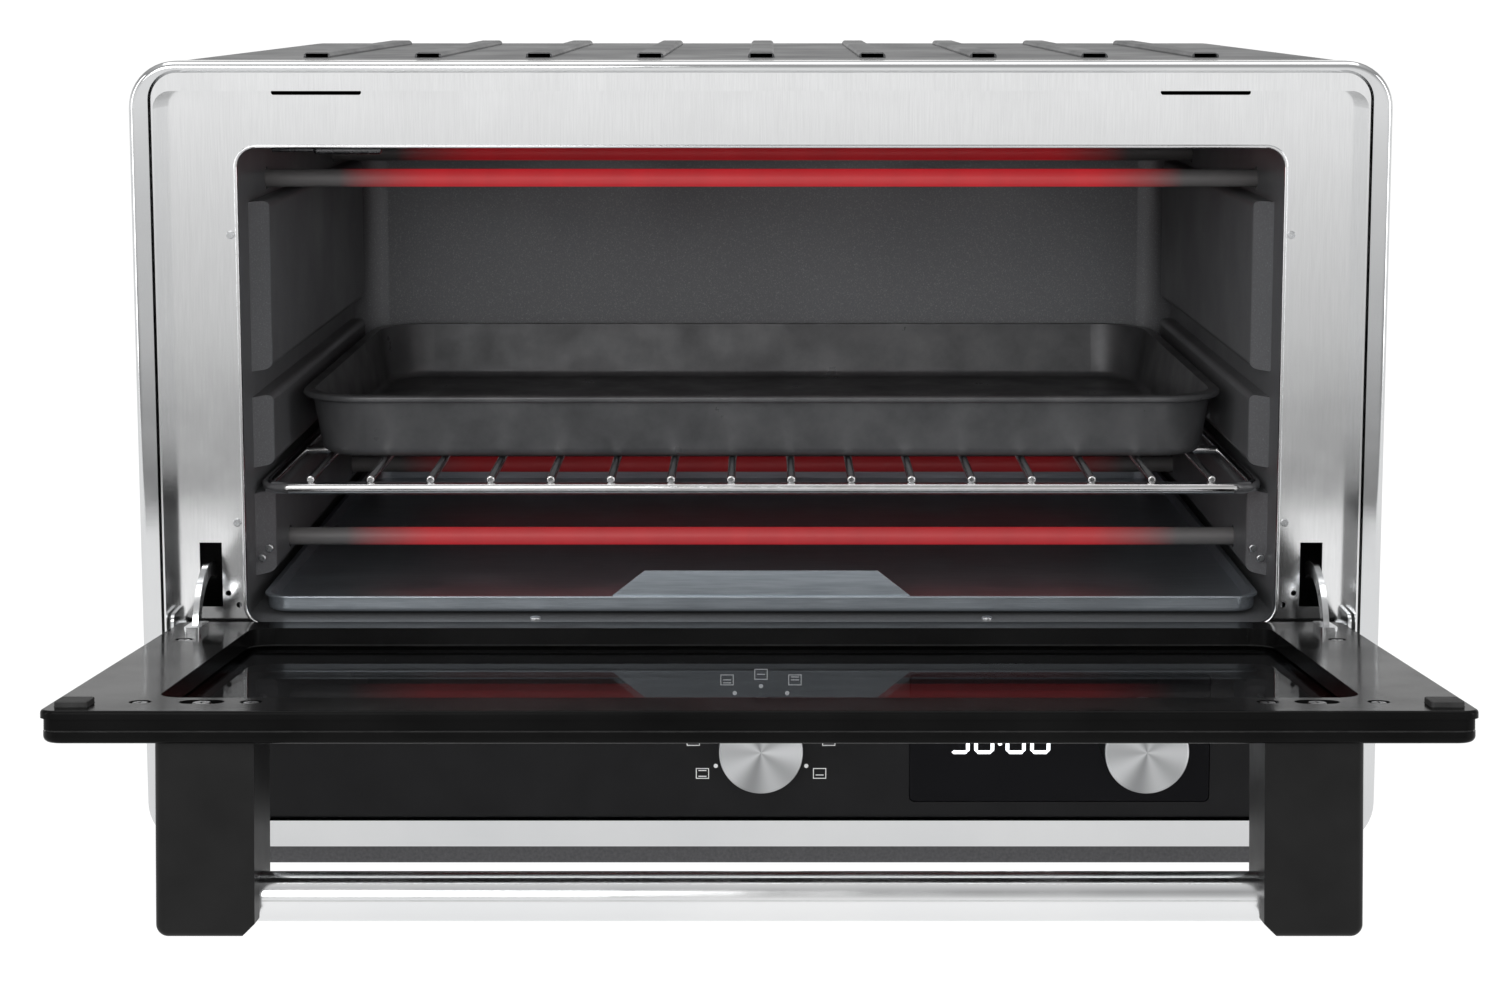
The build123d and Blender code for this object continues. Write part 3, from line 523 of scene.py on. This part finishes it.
def display_digits():
    """Half an hour on the timer, in white segments on the lens."""
    lens_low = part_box("display_lens")[0]
    x = lens_low.x + DIGITS_FROM_LENS_EDGE
    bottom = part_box("mode_dial")[0].z + DIGITS_ABOVE_DIAL_BOTTOM
    shapes = []
    for character in "30:00":
        if character == ":":
            for share in COLON_HEIGHTS:
                shapes.append(circle(x + COLON_INSET, bottom + share * DIGIT_TALL, COLON_RADIUS))
            x += COLON_PITCH
        else:
            shapes += seven_segment(x, bottom, DIGIT_SEGMENTS[character])
            x += DIGIT_PITCH
    mesh = prism_mesh(shapes, lens_low.y - PRINT_PROUD, PRINT_THICKNESS)
    return add_piece("display_digits", mesh, LIT_DIGITS, "oven")


def mode_pointer():
    """The inlaid line that shows which mark the mode dial points at."""
    low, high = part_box("mode_dial")
    x = (low.x + high.x) / 2
    shape = bar(
        x - POINTER_HALF_WIDE, x + POINTER_HALF_WIDE, high.z - POINTER_INNER, high.z - POINTER_OUTER
    )
    mesh = prism_mesh([shape], low.y - PRINT_PROUD, PRINT_THICKNESS)
    return add_piece("mode_pointer", mesh, DARK_INLAY, "mode_dial")


# ---------------------------------------------------------------- stage, light and camera

def add_floor(front_y):
    """An even pale floor to the camera; to reflections, a pale table and past its edge a darker floor."""
    size = FLOOR_SIZE
    corners = [(-size, -size, 0), (size, -size, 0), (size, size, 0), (-size, size, 0)]
    mesh = bpy.data.meshes.new("floor")
    mesh.from_pydata(corners, [], [(0, 1, 2, 3)])
    floor = bpy.data.objects.new("floor", mesh)
    bpy.context.scene.collection.objects.link(floor)
    s = Shader("pale_floor", (0.12, 0.12, 0.12), 0.0, 0.9, Specular_IOR_Level=0.0)
    s.vary_color(s.remap(s.noise(0.8, 2), 0, 1), (0.11, 0.11, 0.11), (0.13, 0.13, 0.13))
    s.set("Emission Color", (1.0, 1.0, 1.0, 1.0))
    away = s.math("SUBTRACT", front_y, s.axis("Y"))
    near_end = TABLE_EDGE + NEAR_FLOOR_REACH
    table = s.remap(away, TABLE_LIGHT, 0.0, TABLE_EDGE, TABLE_EDGE + TABLE_FADE)
    near_floor = s.remap(away, 0.0, NEAR_FLOOR_RISE, TABLE_EDGE, near_end)
    far_floor = s.remap(away, 0.0, FAR_FLOOR_RISE, near_end, TABLE_EDGE + FAR_FLOOR_REACH)
    past_edge = s.math("GREATER_THAN", away, TABLE_EDGE + TABLE_FADE / 2)
    base = s.math("MULTIPLY", past_edge, NEAR_FLOOR_LIGHT)
    room = s.math("ADD", s.math("ADD", table, base), s.math("ADD", near_floor, far_floor))
    seen = s.node("ShaderNodeLightPath")
    choose = s.node("ShaderNodeMix", data_type="FLOAT")
    s.link(seen.outputs["Is Camera Ray"], choose.inputs["Factor"])
    s.link(room, choose.inputs["A"])
    choose.inputs["B"].default_value = FLOOR_SEEN
    s.link(choose.outputs["Result"], s.bsdf.inputs["Emission Strength"])
    mesh.materials.append(s.material)


def area_light(name, place, target, size, power):
    data = bpy.data.lights.new(name, "AREA")
    data.shape = "RECTANGLE"
    data.size, data.size_y = size
    data.energy = power
    light = bpy.data.objects.new(name, data)
    light.location = place
    light.rotation_euler = (Vector(target) - Vector(place)).to_track_quat("-Z", "Y").to_euler()
    bpy.context.scene.collection.objects.link(light)
    return light


def add_lights(front_y):
    """Soft lights above and from the front left, a fill for the cavity, and strips that edge the metal."""
    area_light("top_softbox", (0.0, front_y + 0.1, 1.5), (0, 0.05, 0.1), (1.6, 1.1), 9)
    area_light("front_softbox", (-0.7, front_y - 1.9, 1.1), (0, 0, 0.15), (1.1, 0.9), 11)
    fill = area_light("cavity_fill", (0.0, front_y - 1.7, 0.5), (0, 0, 0.15), (0.9, 0.5), 13)
    fill.visible_glossy = False
    area_light("left_strip", (-1.4, front_y - 0.5, 0.5), (0, 0, 0.15), (0.35, 1.2), 4)
    area_light("right_strip", (1.4, front_y - 0.5, 0.5), (0, 0, 0.15), (0.35, 1.2), 4)


def add_world():
    """White air for the camera; for everything else a room of several brightnesses, by height."""
    world = bpy.data.worlds.new("air")
    bpy.context.scene.world = world
    world.use_nodes = True
    tree = world.node_tree
    back = tree.nodes["Background"]
    place = tree.nodes.new("ShaderNodeTexCoord")
    split = tree.nodes.new("ShaderNodeSeparateXYZ")
    tree.links.new(place.outputs["Generated"], split.inputs["Vector"])
    room = tree.nodes.new("ShaderNodeValToRGB")
    ramp = room.color_ramp
    while len(ramp.elements) < len(ROOM_STOPS):
        ramp.elements.new(0.5)
    for element, (place_at, level) in zip(ramp.elements, ROOM_STOPS):
        element.position = place_at
        element.color = (level, level, level, 1.0)
    rise = tree.nodes.new("ShaderNodeMapRange")
    rise.inputs["From Min"].default_value = -1.0
    tree.links.new(split.outputs["Z"], rise.inputs["Value"])
    tree.links.new(rise.outputs["Result"], room.inputs["Fac"])
    seen = tree.nodes.new("ShaderNodeLightPath")
    air = tree.nodes.new("ShaderNodeMix")
    air.data_type = "RGBA"
    air.inputs["B"].default_value = (AIR_SEEN, AIR_SEEN, AIR_SEEN, 1.0)
    tree.links.new(seen.outputs["Is Camera Ray"], air.inputs["Factor"])
    tree.links.new(room.outputs["Color"], air.inputs["A"])
    tree.links.new(air.outputs["Result"], back.inputs["Color"])


def add_camera(front_y):
    data = bpy.data.cameras.new("camera")
    data.lens = CAMERA_LENS
    data.sensor_width = CAMERA_SENSOR
    data.shift_x, data.shift_y = CAMERA_SHIFT
    camera = bpy.data.objects.new("camera", data)
    camera.location = (CAMERA_X, front_y - CAMERA_DISTANCE, CAMERA_HEIGHT)
    camera.rotation_euler = (math.radians(90 - CAMERA_PITCH), 0, 0)
    bpy.context.scene.collection.objects.link(camera)
    bpy.context.scene.camera = camera


# ---------------------------------------------------------------- putting it together

def dress(material, *names):
    """Gives CAD nodes their finished material."""
    for name in names:
        slots = NODES[name].data.materials
        slots.clear()
        slots.append(material)


FRONT_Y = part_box("bezel")[0].y
WHITE_PRINT = printed_white()
LIT_DIGITS = lit_segments()
DARK_INLAY = dark_inlay()

dress(polished_steel("polished_steel", 0.72, 0.05), "bezel")
dress(polished_steel("bar_steel", 0.86, 0.14), "handle_bar")
dress(face_steel(), "face_plate")
dress(charcoal_paint(), "outer_case")
dress(chassis_paint(), "base_plate", "back_panel")
dress(cavity_enamel(), "liner_left", "liner_right", "liner_back", "liner_roof", "liner_floor")
dress(small_steel(), "case_screws", "face_screws", "cavity_rivets", "mode_shaft", "time_shaft")
dress(blackened_steel(), "door_screws", "sensor_probe")
dress(hinge_chrome(), "door_stay_left", "door_stay_right", "hinge_bracket_left", "hinge_bracket_right")
dress(rack_chrome(), "rack")
for name, strength in ELEMENT_GLOW.items():
    element = "element_" + name
    dress(element_glow(element + "_glow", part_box(element)[1].x, strength), element)
dress(ceramic(), "element_ceramics")
dress(pan_coating(), "baking_pan")
dress(tray_steel(), "crumb_tray")
dress(door_enamel(), "door_inner_frame", "door_outer_frame")
dress(black_rubber(), "feet", "door_bumpers", "door_spacer")
dress(tinted_glass(), "door_glass")
dress(moulded_black("handle_black", (0.006, 0.006, 0.006), 0.36, 0.00001, 0.16), "handle_bracket_left",
      "handle_bracket_right")
dress(moulded_black("fascia_black", (0.006, 0.006, 0.0065), 0.33, 0.000008, 0.14), "fascia")
dress(moulded_black("control_plastic", (0.03, 0.03, 0.032), 0.5, 0.00002), "mode_switch", "time_encoder",
      "led_module", "cord_gland")
dress(lens_black(), "display_lens")
dress(circuit_green(), "display_board", "power_board")
for dial in ("mode_dial", "time_dial"):
    corner_low, corner_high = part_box(dial)
    dress(spun_metal(dial + "_metal", (corner_low + corner_high) / 2), dial)

dial_marks()
display_digits()
mode_pointer()
add_floor(FRONT_Y)
add_lights(FRONT_Y)
add_world()
add_camera(FRONT_Y)
bpy.context.scene.view_settings.view_transform = "Standard"
